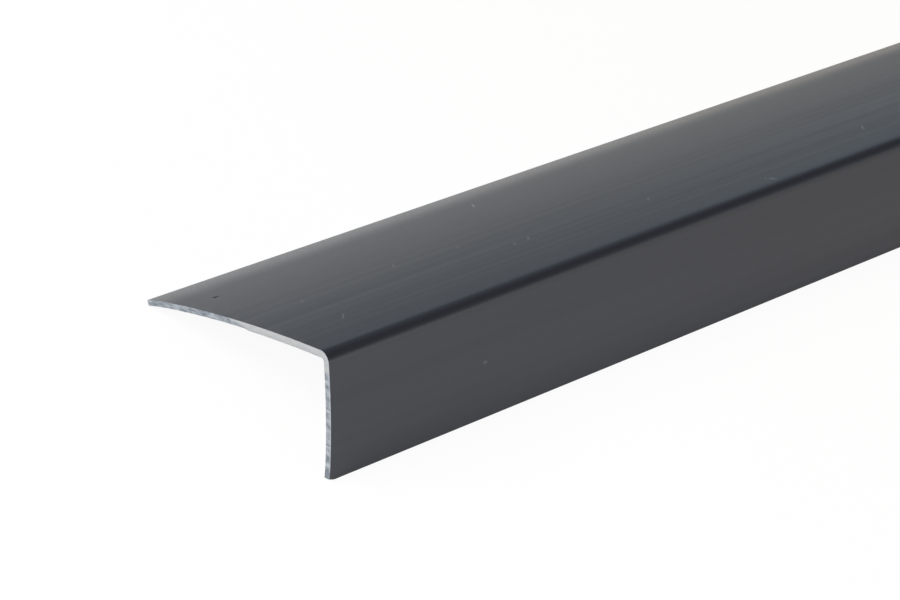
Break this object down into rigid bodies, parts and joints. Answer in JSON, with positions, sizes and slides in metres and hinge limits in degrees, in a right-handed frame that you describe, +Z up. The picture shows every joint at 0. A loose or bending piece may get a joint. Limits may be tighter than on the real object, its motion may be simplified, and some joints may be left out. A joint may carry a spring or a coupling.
{
  "type": "corner angle profile",
  "caption": "Straight thin-walled plastic corner angle with a long and a short leg, both slightly crowned and falling away at the free edges, and a small rounded bend.",
  "frame": {"origin": "on the floor, under the middle of the part's box", "axes": "+X along the length, +Y towards the long leg's free edge, +Z up; the part rests on its two free edges with the bend up"},
  "size_m": [1, 0.068, 0.0289],
  "materials": {
    "pvc": "satin extruded anthracite grey, with lighter sawn ends"
  },
  "bodies": {
    "root": {"corner_angle_profile": "pvc"}
  },
  "joints": []
}
